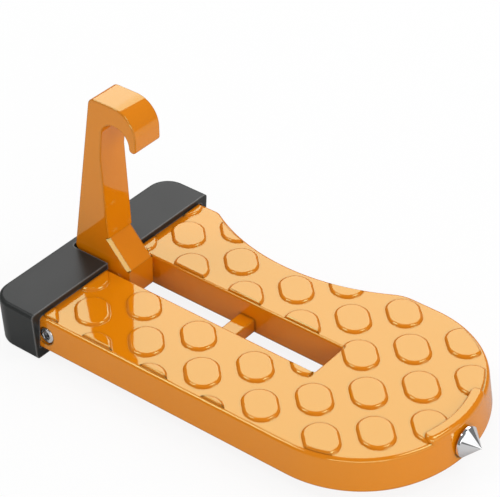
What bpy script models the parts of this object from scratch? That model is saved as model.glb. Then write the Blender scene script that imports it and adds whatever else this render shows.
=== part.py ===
"""Car door latch step: a studded pedal plate, a folding latch hook, a rubber bumper and a hammer tip.

The hook hangs on the door's striker, the bumper leans on the car body, and the plate is stood on.
X runs across the step, Y from the bumper to the hammer tip, Z up. All sizes are in metres.
"""

import math

import bmesh
import bpy
from mathutils import Vector
from mathutils.geometry import intersect_point_line

# Clearances
FIT = 0.0003
RUNNING = 0.0005

# Rubber bumper
BUMPER_WIDTH = 0.0984
BUMPER_DEPTH = 0.0214
BUMPER_CORNER = 0.0090
BUMPER_EDGE = 0.0016
BUMPER_DRAFT = 0.0012
BUMPER_WALL = 0.0027
BUMPER_ABOVE = 0.0030
BUMPER_BELOW = 0.0048
NOTCH_WALL = 0.0034
NOTCH_CORNER = 0.0020

# Pedal plate
PLATE_THICK = 0.0126
PLATE_HALF = 0.0468
PLATE_DRAFT = 0.0009
PLATE_FILLET = 0.0015
PLATE_CHAMFER = 0.0005
REAR_CORNER = 0.0060
TOE_X = -0.0016
TOE_Y = 0.1313
TOE_RADIUS = 0.0411
TOE_SPREAD = 0.0053
TOE_DROP = 0.0098
TOE_FLARE = 0.0009
SIDE_TAPER = 0.55
WAIST_X = -0.0353
WAIST_AHEAD = 0.0018
WAIST_RADIUS = 0.0800
WAIST_FRONT_BLEND = 0.0160
WAIST_REAR_BLEND = 0.0050

# Slot and its cross web
SLOT_HALF = 0.0084
SLOT_END = 0.1162
SLOT_CORNER = 0.0010
SLOT_FILLET = 0.0009
WEB_Y = 0.0736
WEB_LENGTH = 0.0069
WEB_TOP = 0.0058
WEB_LIFT = 0.0005

# Grip studs, a slanting lattice of obrounds
STUD_HALF_WIDTH = 0.0066
STUD_STRAIGHT = 0.0021
STUD_HEIGHT = 0.0009
STUD_FLANK = 0.0016
STUD_ANGLE = 45.0
STUD_ORIGIN = Vector((-0.00866, 0.12359))
STUD_ACROSS = Vector((0.01438, 0.00070))
STUD_ALONG = Vector((0.00053, 0.01314))
STUD_EDGE = 0.0001
STUD_OVERHANG = 0.0032
STUD_SLOT_OVERLAP = 0.0036

# Toe ridge
RIDGE_HEIGHT = 0.0020
RIDGE_BREADTH = 0.0050
RIDGE_ROUND = 0.0008
RIDGE_START = 70.5
RIDGE_END = 110.0
RIDGE_CAP = 0.0024

# Cored pockets under the plate
POCKET_DEPTH = 0.0045
POCKET_LENGTH = 0.0150
POCKET_CORNER = 0.0020
POCKET_DRAFT = 0.0006
POCKET_RIM = 0.0040
RIB = 0.0030

# Pivot screw, its nut and washers
SCREW_RADIUS = 0.0020
HEAD_RADIUS = 0.0032
HEAD_HEIGHT = 0.0040
HEAD_SINK = 0.0002
SOCKET_RADIUS = 0.0017
SOCKET_DEPTH = 0.0020
NUT_RADIUS = 0.0040
NUT_HEIGHT = 0.0040
NUT_SINK = 0.0025
THREAD_PAST_NUT = 0.0006
WASHER_RADIUS = 0.0048
PIVOT_Y = 0.0240
PIVOT_Z = 0.0058

# Latch hook: the names with _AHEAD are measured forward from the pivot
HOOK_WIDTH = 0.0134
HOOK_TOP = 0.0837
HOOK_BACK_LOW_Z = 0.0170
HOOK_BACK_HIGH = 0.0140
HOOK_BACK_HIGH_Z = 0.0805
NECK_AHEAD = -0.0053
HOOK_NECK_Z = 0.0600
SHIN_AHEAD = -0.0034
HOOK_SHIN_Z = 0.0252
TOE_AHEAD = 0.0063
HOOK_TOE_Z = 0.0145
HOOK_GROUND = 0.0008
HEEL_ROUND = 0.0030
CROWN_ROUND = 0.0030
SOLE_ROUND = 0.0025
LOBE_RADIUS = 0.0098
JAW_RADIUS = 0.0122
THROAT_RADIUS = 0.0064
THROAT_AHEAD = 0.0022
THROAT_Z = 0.0696
HOOK_TIP = 0.0016
HOOK_EDGE = 0.0005
SHIN_EDGE = 0.0013

# Hammer tip
TIP_RADIUS = 0.0057
TIP_SHOULDER = 0.0021
TIP_CONE = 0.0047
TIP_POINT = 0.0004
TIP_SINK = 0.0012
TIP_Z = 0.0064
TIP_STUD_RADIUS = 0.0025
TIP_STUD_LENGTH = 0.0090

# Places that follow from the sizes above
PLATE_REAR = BUMPER_WALL + FIT
HEAD_BORE = HEAD_RADIUS + FIT
SLOT_START = PIVOT_Y - LOBE_RADIUS - RUNNING
HOOK_BACK_LOW = NOTCH_WALL + 2.0 * FIT
THROAT_Y = PIVOT_Y + THROAT_AHEAD
FRONT_Y = TOE_Y - TOE_DROP
FRONT_RADIUS = TOE_RADIUS + math.hypot(TOE_SPREAD, TOE_DROP)
TOE_FRONT = FRONT_Y + FRONT_RADIUS
WAIST_Y = 0.5 * (PLATE_REAR + REAR_CORNER + TOE_Y) + WAIST_AHEAD
TIP_SEAT = TOE_FRONT - TIP_SINK
TOTAL_LENGTH = TIP_SEAT + FIT + TIP_SHOULDER + TIP_CONE
RIDGE_OUTER = FRONT_RADIUS - PLATE_DRAFT - TOE_FLARE - 0.0001

# Facets
TURN_STEPS = 32
BIG_ARC_STEP = 5.0
SMALL_ARC_STEP = 15.0
DEEP = 0.0100


def polar(centre, radius, degrees):
    """Return the point at this angle on a circle."""
    angle = math.radians(degrees)
    return Vector((centre[0] + radius * math.cos(angle), centre[1] + radius * math.sin(angle)))


def arc(centre, radius, start, end, step):
    """Return the points of an arc from start to end, both ends included."""
    count = max(2, math.ceil(abs(end - start) / step))
    return [polar(centre, radius, start + (end - start) * i / count) for i in range(count + 1)]


def heading(vector):
    """Return the angle of a 2D vector in degrees, from 0 to 360."""
    return math.degrees(math.atan2(vector[1], vector[0])) % 360.0


def waist_blend(radius, side_x, side):
    """Return the centre of the arc that blends the waist into a side line, ahead of or behind the waist."""
    across = side_x + radius - (WAIST_X - WAIST_RADIUS)
    rise = math.sqrt((WAIST_RADIUS + radius) ** 2 - across ** 2)
    return Vector((side_x + radius, WAIST_Y + side * rise))


def plate_outline():
    """Return the plate's outline, counter-clockwise: straight side, full round toe and drawn-in waist."""
    right_toe = Vector((TOE_X + TOE_SPREAD, TOE_Y))
    left_toe = Vector((TOE_X - TOE_SPREAD, TOE_Y))
    front = Vector((TOE_X, FRONT_Y))
    waist = Vector((WAIST_X - WAIST_RADIUS, WAIST_Y))
    front_blend = waist_blend(WAIST_FRONT_BLEND, left_toe.x - TOE_RADIUS, 1)
    rear_blend = waist_blend(WAIST_REAR_BLEND, -PLATE_HALF, -1)
    taper = math.radians(SIDE_TAPER)
    corner_y = PLATE_REAR + REAR_CORNER
    side_reach = right_toe.x * math.cos(taper) + right_toe.y * math.sin(taper) + TOE_RADIUS
    right_x = (side_reach - REAR_CORNER - math.sin(taper) * corner_y) / math.cos(taper)
    left_x = REAR_CORNER - PLATE_HALF
    crown = heading(right_toe - front)
    waist_enter = heading(waist - front_blend)
    waist_leave = heading(waist - rear_blend)
    points = arc((right_x, corner_y), REAR_CORNER, -90.0, SIDE_TAPER, SMALL_ARC_STEP)
    points += arc(right_toe, TOE_RADIUS, SIDE_TAPER, crown, BIG_ARC_STEP)
    points += arc(front, FRONT_RADIUS, crown, 180.0 - crown, BIG_ARC_STEP)[1:]
    points += arc(left_toe, TOE_RADIUS, 180.0 - crown, 180.0, BIG_ARC_STEP)[1:]
    points += arc(front_blend, WAIST_FRONT_BLEND, 180.0, waist_enter, BIG_ARC_STEP)
    points += arc(waist, WAIST_RADIUS, waist_enter - 180.0, waist_leave - 180.0, BIG_ARC_STEP)[1:]
    points += arc(rear_blend, WAIST_REAR_BLEND, waist_leave, 180.0, SMALL_ARC_STEP)[1:]
    points += arc((left_x, corner_y), REAR_CORNER, 180.0, 270.0, SMALL_ARC_STEP)
    return points


def inset(points, distance, flare=0.0):
    """Move a counter-clockwise outline inwards, by up to a flare more towards the toe, with mitred corners."""
    moved = []
    for i, point in enumerate(points):
        before = (point - points[i - 1]).normalized()
        after = (points[(i + 1) % len(points)] - point).normalized()
        bisector = Vector((-before.y - after.y, before.x + after.x)).normalized()
        reach = max(0.2, bisector.dot(Vector((-before.y, before.x))))
        toe_share = min(max((point.y - TOE_Y) / (TOE_FRONT - TOE_Y), 0.0), 1.0)
        moved.append(point + bisector * (distance + flare * toe_share) / reach)
    return moved


def rounded_box(x_low, x_high, y_low, y_high, radius, step=30.0):
    """Return a rectangle with round corners, counter-clockwise."""
    centres = ((x_high - radius, y_low + radius, -90.0), (x_high - radius, y_high - radius, 0.0),
               (x_low + radius, y_high - radius, 90.0), (x_low + radius, y_low + radius, 180.0))
    points = []
    for x, y, start in centres:
        points += arc((x, y), radius, start, start + 90.0, step)
    return points


def paint(name, colour, roughness, metallic=0.0, coat=0.0):
    """Return a Principled material."""
    material = bpy.data.materials.new(name)
    material.use_nodes = True
    shader = material.node_tree.nodes["Principled BSDF"]
    shader.inputs["Base Color"].default_value = (*colour, 1.0)
    shader.inputs["Roughness"].default_value = roughness
    shader.inputs["Metallic"].default_value = metallic
    shader.inputs["Coat Weight"].default_value = coat
    return material


def add_object(name, bm, parent, material=None, location=(0.0, 0.0, 0.0), smooth_angle=35.0):
    """Turn a bmesh into a named object, shaded smooth up to an angle; without a material it is a cutter."""
    bmesh.ops.recalc_face_normals(bm, faces=bm.faces[:])
    mesh = bpy.data.meshes.new(name)
    bm.to_mesh(mesh)
    bm.free()
    mesh.shade_smooth()
    mesh.set_sharp_from_angle(angle=math.radians(smooth_angle))
    obj = bpy.data.objects.new(name, mesh)
    bpy.context.scene.collection.objects.link(obj)
    obj.parent = parent
    obj.location = location
    if material is None:
        obj.hide_render = True
        obj.display_type = "WIRE"
    else:
        mesh.materials.append(material)
    return obj


def combine(obj, other, operation):
    """Join, cut or clip an object with another one."""
    boolean = obj.modifiers.new(other.name, "BOOLEAN")
    boolean.operation = operation
    boolean.solver = "EXACT"
    boolean.object = other


def add_loft(bm, rings):
    """Add a closed solid through rings of 3D points, with flat ends."""
    loops = [[bm.verts.new(point) for point in ring] for ring in rings]
    count = len(loops[0])
    for lower, upper in zip(loops, loops[1:]):
        for i in range(count):
            j = (i + 1) % count
            bm.faces.new((lower[i], lower[j], upper[j], upper[i]))
    bm.faces.new(loops[0])
    bm.faces.new(loops[-1])


def cut_flat(bm, y, keep_front):
    """Cut a solid across at a distance from the rear and cap the cut."""
    cut = bmesh.ops.bisect_plane(bm, geom=bm.verts[:] + bm.edges[:] + bm.faces[:], dist=0.000001,
                                 plane_co=(0.0, y, 0.0), plane_no=(0.0, 1.0, 0.0),
                                 clear_outer=not keep_front, clear_inner=keep_front)
    rim = [item for item in cut["geom_cut"] if isinstance(item, bmesh.types.BMEdge)]
    bmesh.ops.contextual_create(bm, geom=rim)


def at_height(points, z):
    """Lift 2D points to a height."""
    return [Vector((point[0], point[1], z)) for point in points]


def plate_rings(grow=0.0):
    """Return the rings of the drafted, filleted plate, grown all round by a clearance."""
    outline = plate_outline()
    rings = [at_height(inset(outline, PLATE_CHAMFER - grow), -grow),
             at_height(inset(outline, -grow), PLATE_CHAMFER - grow)]
    for degrees in (0.0, 30.0, 60.0, 90.0):
        angle = math.radians(degrees)
        step_in = PLATE_DRAFT + PLATE_FILLET * (1.0 - math.cos(angle)) - grow
        height = PLATE_THICK + grow + PLATE_FILLET * (math.sin(angle) - 1.0)
        rings.append(at_height(inset(outline, step_in, TOE_FLARE), height))
    return rings


def obround(grow, step=30.0):
    """Return a stud's outline, narrowed by a distance, about its own centre."""
    radius = STUD_HALF_WIDTH - grow
    lean = math.radians(STUD_ANGLE)
    shift = Vector((math.cos(lean), math.sin(lean))) * STUD_STRAIGHT
    points = arc(shift, radius, STUD_ANGLE - 90.0, STUD_ANGLE + 90.0, step)
    points += arc(-shift, radius, STUD_ANGLE + 90.0, STUD_ANGLE + 270.0, step)
    return points


def outside_by(points, place):
    """Return how far a place lies outside a counter-clockwise outline, negative inside."""
    nearest = math.inf
    turns = 0.0
    for i, end in enumerate(points):
        start = points[i - 1]
        share = intersect_point_line(place, start, end)[1]
        foot = start.lerp(end, min(max(share, 0.0), 1.0))
        nearest = min(nearest, (foot - place).length)
        turns += (start - place).angle_signed(end - place)
    return nearest if abs(turns) < math.pi else -nearest


def stud_centres():
    """Return the lattice points whose studs show on the plate, whole or cut."""
    outline = plate_outline()
    centres = []
    for row in range(-9, 5):
        for column in range(-5, 6):
            if (row + column) % 2:
                continue
            place = STUD_ORIGIN + STUD_ACROSS * column + STUD_ALONG * row
            beyond_slot = max(abs(place.x) - SLOT_HALF, place.y - SLOT_END)
            reach = STUD_HALF_WIDTH + STUD_STRAIGHT - STUD_FLANK
            on_plate = outside_by(outline, place) < STUD_OVERHANG
            clear_of_slot = beyond_slot > -STUD_SLOT_OVERLAP
            if on_plate and clear_of_slot and place.y > BUMPER_DEPTH + FIT - reach:
                centres.append(place)
    return centres


def add_studs(parent):
    """Make every stud, clipped to the flat top in front of the bumper."""
    studs = bmesh.new()
    profile = ((-0.35, -0.65), (0.35, 0.65), (1.0, 1.0))
    for centre in stud_centres():
        rings = []
        for run, rise in profile:
            ring = [centre + point for point in obround(run * STUD_FLANK)]
            rings.append(at_height(ring, PLATE_THICK + rise * STUD_HEIGHT))
        add_loft(studs, rings)
    stud_object = add_object("stud_pattern", studs, parent)

    field = bmesh.new()
    top_edge = inset(plate_outline(), PLATE_DRAFT + PLATE_FILLET + STUD_EDGE, TOE_FLARE)
    add_loft(field, [at_height(top_edge, PLATE_THICK - STUD_HEIGHT),
                     at_height(top_edge, PLATE_THICK + DEEP)])
    cut_flat(field, BUMPER_DEPTH + FIT, keep_front=True)
    combine(stud_object, add_object("stud_field", field, parent), "INTERSECT")
    return stud_object


def add_ridge(parent):
    """Sweep the toe ridge round the front edge, with round ends in plan."""
    bm = bmesh.new()
    cap = math.degrees(RIDGE_CAP / RIDGE_OUTER)
    middle = RIDGE_OUTER - 0.5 * RIDGE_BREADTH
    narrow = 2.0 * RIDGE_ROUND + FIT
    stations = [(RIDGE_START + cap * share, math.sqrt(share * (2.0 - share)))
                for share in (0.0, 0.06, 0.25, 0.55, 1.0)]
    stations += [(RIDGE_START + RIDGE_END - angle, fullness) for angle, fullness in stations]
    run = RIDGE_END - RIDGE_START - 2.0 * cap
    stations += [(RIDGE_START + cap + run * i / 10, 1.0) for i in range(1, 10)]
    top = PLATE_THICK + RIDGE_HEIGHT
    base = PLATE_THICK - 2.0 * PLATE_FILLET
    rings = []
    for degrees, fullness in sorted(stations):
        half = 0.5 * (narrow + (RIDGE_BREADTH - narrow) * fullness)
        section = []
        for side in (-1.0, 1.0):
            edge = [(middle + side * half, base), (middle + side * half, top - RIDGE_ROUND),
                    (middle + side * (half - 0.3 * RIDGE_ROUND), top - 0.3 * RIDGE_ROUND),
                    (middle + side * (half - RIDGE_ROUND), top)]
            section += edge if side < 0.0 else reversed(edge)
        angle = math.radians(degrees)
        rings.append([Vector((TOE_X + r * math.cos(angle), FRONT_Y + r * math.sin(angle), z))
                      for r, z in section])
    add_loft(bm, rings)
    return add_object("toe_ridge", bm, parent)


def add_slot(parent):
    """Make the cutter of the hook's slot, with a fillet round its upper edge."""
    bm = bmesh.new()
    low = rounded_box(-SLOT_HALF, SLOT_HALF, SLOT_START, SLOT_END, SLOT_CORNER)
    rings = [at_height(low, -DEEP), at_height(low, PLATE_THICK - SLOT_FILLET)]
    for degrees in (30.0, 60.0, 85.0):
        angle = math.radians(degrees)
        grown = inset(low, -SLOT_FILLET * (1.0 - math.cos(angle)))
        rings.append(at_height(grown, PLATE_THICK - SLOT_FILLET * (1.0 - math.sin(angle))))
    rings.append(at_height(grown, PLATE_THICK + DEEP))
    add_loft(bm, rings)
    return add_object("slot_cut", bm, parent)


def add_web(parent):
    """Make the low cross web that carries the folded hook."""
    bm = bmesh.new()
    low, high = WEB_Y - 0.5 * WEB_LENGTH, WEB_Y + 0.5 * WEB_LENGTH
    edge = 0.0006
    section = [(low, WEB_LIFT), (high, WEB_LIFT), (high, WEB_TOP - edge), (high - edge, WEB_TOP),
               (low + edge, WEB_TOP), (low, WEB_TOP - edge)]
    reach = SLOT_HALF + RUNNING
    add_loft(bm, [[Vector((x, y, z)) for y, z in section] for x in (-reach, reach)])
    return add_object("slot_web", bm, parent)


def add_pockets(parent):
    """Make the cored pockets of the underside, clipped to leave an even rim."""
    bm = bmesh.new()
    outline = plate_outline()
    wall = SLOT_HALF + POCKET_RIM
    wide = 0.5 * (PLATE_HALF - POCKET_RIM - wall - RIB)
    columns = [(wall, wall + wide), (wall + wide + RIB, PLATE_HALF)]
    columns += [(-high, -low) for low, high in columns]
    first = PIVOT_Y + SCREW_RADIUS + POCKET_RIM
    pitch = POCKET_LENGTH + RIB
    rows = int((TOE_FRONT - POCKET_RIM - POCKET_LENGTH - first) / pitch) + 1
    for row in range(rows):
        low = first + row * pitch
        spans = list(columns)
        if low > SLOT_END + POCKET_RIM and low + POCKET_LENGTH < TIP_SEAT - TIP_STUD_LENGTH:
            spans.append((RIB - wall, wall - RIB))
        for left, right in spans:
            middle = Vector((0.5 * (left + right), low + 0.5 * POCKET_LENGTH))
            if outside_by(outline, middle) > -POCKET_RIM - 0.5 * RIB:
                continue
            shape = rounded_box(left, right, low, low + POCKET_LENGTH, POCKET_CORNER, step=45.0)
            add_loft(bm, [at_height(inset(shape, -POCKET_DRAFT), -POCKET_DEPTH),
                          at_height(inset(shape, POCKET_DRAFT), POCKET_DEPTH)])
    pockets = add_object("pocket_pattern", bm, parent)
    field = bmesh.new()
    rim = inset(outline, POCKET_RIM)
    add_loft(field, [at_height(rim, -DEEP), at_height(rim, DEEP)])
    combine(pockets, add_object("pocket_field", field, parent), "INTERSECT")
    return pockets


def add_turned(name, profile, axis, parent, material=None, location=(0.0, 0.0, 0.0), steps=TURN_STEPS):
    """Spin a profile of (along, radius) points about an axis through the object's origin."""
    bm = bmesh.new()
    side = Vector((0.0, 0.0, 1.0))
    verts = [bm.verts.new(axis * along + side * radius) for along, radius in profile]
    closed = profile[0][1] > 0.0
    edges = [bm.edges.new((first, second)) for first, second in zip(verts, verts[1:])]
    if closed:
        edges.append(bm.edges.new((verts[-1], verts[0])))
    bmesh.ops.spin(bm, geom=verts + edges, cent=(0.0, 0.0, 0.0), axis=axis, angle=math.tau,
                   steps=steps, use_merge=True, use_duplicate=False)
    bmesh.ops.remove_doubles(bm, verts=bm.verts[:], dist=0.000001)
    return add_object(name, bm, parent, material, location)


def plate_sides():
    """Return where the plate's two sides stand at the pivot, the waisted one first."""
    points = plate_outline()
    crossings = []
    for i, end in enumerate(points):
        start = points[i - 1]
        if (start.y - PIVOT_Y) * (end.y - PIVOT_Y) < 0.0:
            crossings.append(start.lerp(end, (PIVOT_Y - start.y) / (end.y - start.y)).x)
    return min(crossings), max(crossings)


def hook_profile():
    """Return the hook's side view as (y, z) points from the pivot: heel, back, crown, jaw, stem and foot."""
    sole = PLATE_THICK + FIT
    lean = (HOOK_BACK_HIGH - HOOK_BACK_LOW) / (HOOK_BACK_HIGH_Z - HOOK_BACK_LOW_Z)
    pivot = (PIVOT_Y, PIVOT_Z)
    tilt = math.degrees(math.atan(lean))

    def back_y(z):
        return HOOK_BACK_LOW + lean * (z - HOOK_BACK_LOW_Z)

    def on_back(radius, z):
        return (back_y(z) + radius / math.cos(math.radians(tilt)), z)

    lobe_low = math.degrees(math.asin((PIVOT_Z - HOOK_GROUND) / LOBE_RADIUS))
    lobe_high = math.degrees(math.asin((sole - PIVOT_Z) / LOBE_RADIUS))
    heel = on_back(HEEL_ROUND, sole + HEEL_ROUND)
    crown = on_back(CROWN_ROUND, HOOK_TOP - CROWN_ROUND)
    jaw = (THROAT_Y + THROAT_RADIUS + 2.0 * HOOK_TIP - JAW_RADIUS, HOOK_TOP - JAW_RADIUS)
    tip = (THROAT_Y + THROAT_RADIUS + HOOK_TIP, THROAT_Z)
    ground = (PIVOT_Y + TOE_AHEAD - SOLE_ROUND, HOOK_GROUND + SOLE_ROUND)
    points = arc(pivot, LOBE_RADIUS, 180.0 + lobe_low, 180.0 - lobe_high, SMALL_ARC_STEP)
    points += arc(heel, HEEL_ROUND, 270.0, 180.0 - tilt, 30.0)
    points += arc(crown, CROWN_ROUND, 180.0 - tilt, 90.0, 30.0)
    points += arc(jaw, JAW_RADIUS, 90.0, 0.0, 10.0)
    points += arc(tip, HOOK_TIP, 0.0, -180.0, 36.0)
    points += arc((THROAT_Y, THROAT_Z), THROAT_RADIUS, 0.0, 180.0, SMALL_ARC_STEP)[1:]
    points += [Vector((PIVOT_Y + NECK_AHEAD, HOOK_NECK_Z)), Vector((PIVOT_Y + SHIN_AHEAD, HOOK_SHIN_Z)),
               Vector((PIVOT_Y + TOE_AHEAD, HOOK_TOE_Z))]
    points += arc(ground, SOLE_ROUND, 0.0, -90.0, 30.0)
    return [point - Vector(pivot) for point in points]


def add_hook(parent, material):
    """Extrude the hook, soften its edges, broaden the chamfers of its shin and bore the pivot."""
    bm = bmesh.new()
    half = 0.5 * HOOK_WIDTH
    profile = hook_profile()
    add_loft(bm, [[Vector((x, y, z)) for y, z in profile] for x in (-half, half)])
    weight = bm.edges.layers.float.new("bevel_weight_edge")
    shin_low, shin_high = HOOK_TOE_Z - PIVOT_Z, HOOK_SHIN_Z - PIVOT_Z
    for edge in bm.edges:
        first, second = edge.verts
        if abs(first.co.x - second.co.x) < FIT:
            on_shin = abs(first.co.z - second.co.z) > 0.9 * (shin_high - shin_low)
            within = max(first.co.z, second.co.z) < shin_high + FIT and min(first.co.y, second.co.y) > -DEEP
            edge[weight] = 1.0 if on_shin and within else HOOK_EDGE / SHIN_EDGE
    hook = add_object("latch_hook", bm, parent, material, (0.0, PIVOT_Y, PIVOT_Z))
    bevel = hook.modifiers.new("softened_edges", "BEVEL")
    bevel.limit_method = "WEIGHT"
    bevel.width = SHIN_EDGE
    bevel.segments = 2
    bore = [(-HOOK_WIDTH, 0.0), (-HOOK_WIDTH, SCREW_RADIUS + FIT), (HOOK_WIDTH, SCREW_RADIUS + FIT),
            (HOOK_WIDTH, 0.0)]
    combine(hook, add_turned("hook_bore", bore, Vector((1.0, 0.0, 0.0)), parent,
                             location=(0.0, PIVOT_Y, PIVOT_Z)), "DIFFERENCE")
    return hook


def add_bumper(parent, material):
    """Make the rubber cap that wraps the plate's rear, cut flat in front and notched for the hook."""
    bm = bmesh.new()
    half = 0.5 * BUMPER_WIDTH
    top = PLATE_THICK + BUMPER_ABOVE
    outline = rounded_box(-half, half, 0.0, BUMPER_DEPTH + 2.0 * BUMPER_CORNER, BUMPER_CORNER, step=10.0)
    section = []
    for degrees in (90.0, 60.0, 30.0, 0.0):
        angle = math.radians(degrees)
        section.append((BUMPER_EDGE * (1.0 - math.cos(angle)), BUMPER_EDGE * (1.0 - math.sin(angle))))
    narrowing = 1.0 - BUMPER_DRAFT / half
    low = [Vector((point.x * narrowing, point.y)) for point in outline]
    rings = [at_height(inset(low, run), rise - BUMPER_BELOW) for run, rise in section]
    rings += [at_height(inset(outline, run), top - rise) for run, rise in reversed(section)]
    add_loft(bm, rings)
    cut_flat(bm, BUMPER_DEPTH, keep_front=False)
    bumper = add_object("wall_bumper", bm, parent, material)

    hollow = bmesh.new()
    add_loft(hollow, plate_rings(FIT))
    combine(bumper, add_object("bumper_hollow", hollow, parent), "DIFFERENCE")

    notch = bmesh.new()
    shape = rounded_box(-SLOT_HALF, SLOT_HALF, NOTCH_WALL, BUMPER_DEPTH + DEEP, NOTCH_CORNER, step=15.0)
    add_loft(notch, [at_height(shape, -DEEP), at_height(shape, top + DEEP)])
    combine(bumper, add_object("bumper_notch", notch, parent), "DIFFERENCE")
    return bumper


def add_pivot(parent, steel):
    """Make the socket screw, its lock nut and the two washers beside the hook; return the plate's bore."""
    across = Vector((1.0, 0.0, 0.0))
    place = (0.0, PIVOT_Y, PIVOT_Z)
    far_side, near_side = plate_sides()
    near = near_side - 0.5 * PLATE_DRAFT - HEAD_SINK
    head_seat = near - HEAD_HEIGHT
    nut_outer = far_side + NUT_SINK
    nut_inner = nut_outer + NUT_HEIGHT
    end = nut_outer - THREAD_PAST_NUT
    chamfer = 0.0004
    screw = add_turned("pivot_screw", [
        (near, 0.0), (near, HEAD_RADIUS - chamfer), (near - chamfer, HEAD_RADIUS), (head_seat, HEAD_RADIUS),
        (head_seat, SCREW_RADIUS), (end + chamfer, SCREW_RADIUS), (end, SCREW_RADIUS - chamfer), (end, 0.0)],
        across, parent, steel, place)
    socket = bmesh.new()
    hexagon = [Vector(polar((0.0, 0.0), SOCKET_RADIUS, 60.0 * i)) for i in range(6)]
    add_loft(socket, [[Vector((x, point.x, point.y)) for point in hexagon]
                      for x in (near - SOCKET_DEPTH, near + SOCKET_DEPTH)])
    combine(screw, add_object("screw_socket", socket, parent, location=place), "DIFFERENCE")

    nut = bmesh.new()
    soft = 0.0005
    rings = []
    for x, radius in ((nut_outer, NUT_RADIUS - soft), (nut_outer + soft, NUT_RADIUS),
                      (nut_inner - soft, NUT_RADIUS), (nut_inner, NUT_RADIUS - soft)):
        rings.append([Vector((x, *polar((0.0, 0.0), radius, 60.0 * i + 30.0))) for i in range(6)])
    add_loft(nut, rings)
    nut_object = add_object("pivot_nut", nut, parent, steel, place)
    thread = [(nut_outer - DEEP, 0.0), (nut_outer - DEEP, SCREW_RADIUS + FIT),
              (nut_inner + DEEP, SCREW_RADIUS + FIT), (nut_inner + DEEP, 0.0)]
    combine(nut_object, add_turned("nut_thread", thread, across, parent, location=place), "DIFFERENCE")

    inner, outer = 0.5 * HOOK_WIDTH + FIT, SLOT_HALF - FIT
    for name, sign in (("washer_right", 1.0), ("washer_left", -1.0)):
        ring = [(sign * inner, SCREW_RADIUS + FIT), (sign * inner, WASHER_RADIUS),
                (sign * outer, WASHER_RADIUS), (sign * outer, SCREW_RADIUS + FIT)]
        add_turned(name, ring, across, parent, steel, place)

    nut_bore = NUT_RADIUS + FIT
    bore = [(far_side - DEEP, 0.0), (far_side - DEEP, nut_bore), (nut_inner + FIT, nut_bore),
            (nut_inner + FIT, SCREW_RADIUS + FIT), (head_seat - FIT, SCREW_RADIUS + FIT),
            (head_seat - FIT, HEAD_BORE), (near + DEEP, HEAD_BORE), (near + DEEP, 0.0)]
    return add_turned("pivot_bore", bore, across, parent, location=place)


def add_tip(parent, chrome):
    """Turn the hammer tip with its threaded stud; return the bore that takes it."""
    along = Vector((0.0, 1.0, 0.0))
    seat = TIP_SEAT + FIT
    shoulder = seat + TIP_SHOULDER
    point = TOTAL_LENGTH - TIP_POINT
    end = seat - TIP_STUD_LENGTH
    chamfer = 0.0003
    profile = [(end, 0.0), (end, TIP_STUD_RADIUS - chamfer), (end + chamfer, TIP_STUD_RADIUS),
               (seat, TIP_STUD_RADIUS), (seat, TIP_RADIUS - chamfer), (seat + chamfer, TIP_RADIUS),
               (shoulder, TIP_RADIUS), (point, TIP_POINT), (TOTAL_LENGTH - 0.3 * TIP_POINT, 0.7 * TIP_POINT),
               (TOTAL_LENGTH, 0.0)]
    add_turned("hammer_tip", profile, along, parent, chrome, (0.0, 0.0, TIP_Z))
    bore = [(end - RUNNING, 0.0), (end - RUNNING, TIP_STUD_RADIUS + FIT), (TIP_SEAT, TIP_STUD_RADIUS + FIT),
            (TIP_SEAT, TIP_RADIUS + FIT), (TIP_SEAT + DEEP, TIP_RADIUS + FIT), (TIP_SEAT + DEEP, 0.0)]
    return add_turned("tip_bore", bore, along, parent, location=(0.0, 0.0, TIP_Z))


def main():
    for obj in list(bpy.data.objects):
        bpy.data.objects.remove(obj, do_unlink=True)
    enamel = paint("orange_enamel", (0.80, 0.29, 0.025), 0.25, coat=0.6)
    rubber = paint("black_rubber", (0.045, 0.047, 0.046), 0.6)
    steel = paint("zinc_steel", (0.62, 0.63, 0.64), 0.3, metallic=1.0)
    chrome = paint("chrome", (0.80, 0.80, 0.80), 0.08, metallic=1.0)

    frame = bpy.data.objects.new("step_frame", None)
    bpy.context.scene.collection.objects.link(frame)
    frame.location = (0.0, -0.5 * TOTAL_LENGTH, BUMPER_BELOW)

    plate_mesh = bmesh.new()
    add_loft(plate_mesh, plate_rings())
    plate = add_object("step_plate", plate_mesh, frame, enamel)
    combine(plate, add_studs(frame), "UNION")
    combine(plate, add_ridge(frame), "UNION")
    combine(plate, add_slot(frame), "DIFFERENCE")
    combine(plate, add_web(frame), "UNION")
    combine(plate, add_pockets(frame), "DIFFERENCE")
    combine(plate, add_pivot(frame, steel), "DIFFERENCE")
    combine(plate, add_tip(frame, chrome), "DIFFERENCE")
    add_bumper(frame, rubber)
    add_hook(frame, enamel)


main()
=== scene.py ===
"""Orange car door latch step in a white studio, dressed over its CAD frame.

Lengths are in metres. Local places are measured as on the maker's drawing: X across the step from
the slot's centre, Y from the bumper's rear face to the hammer tip, Z up from the plate's underside.
"""

import math

import bmesh
import bpy
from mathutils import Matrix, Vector
from mathutils.geometry import intersect_point_line


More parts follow.
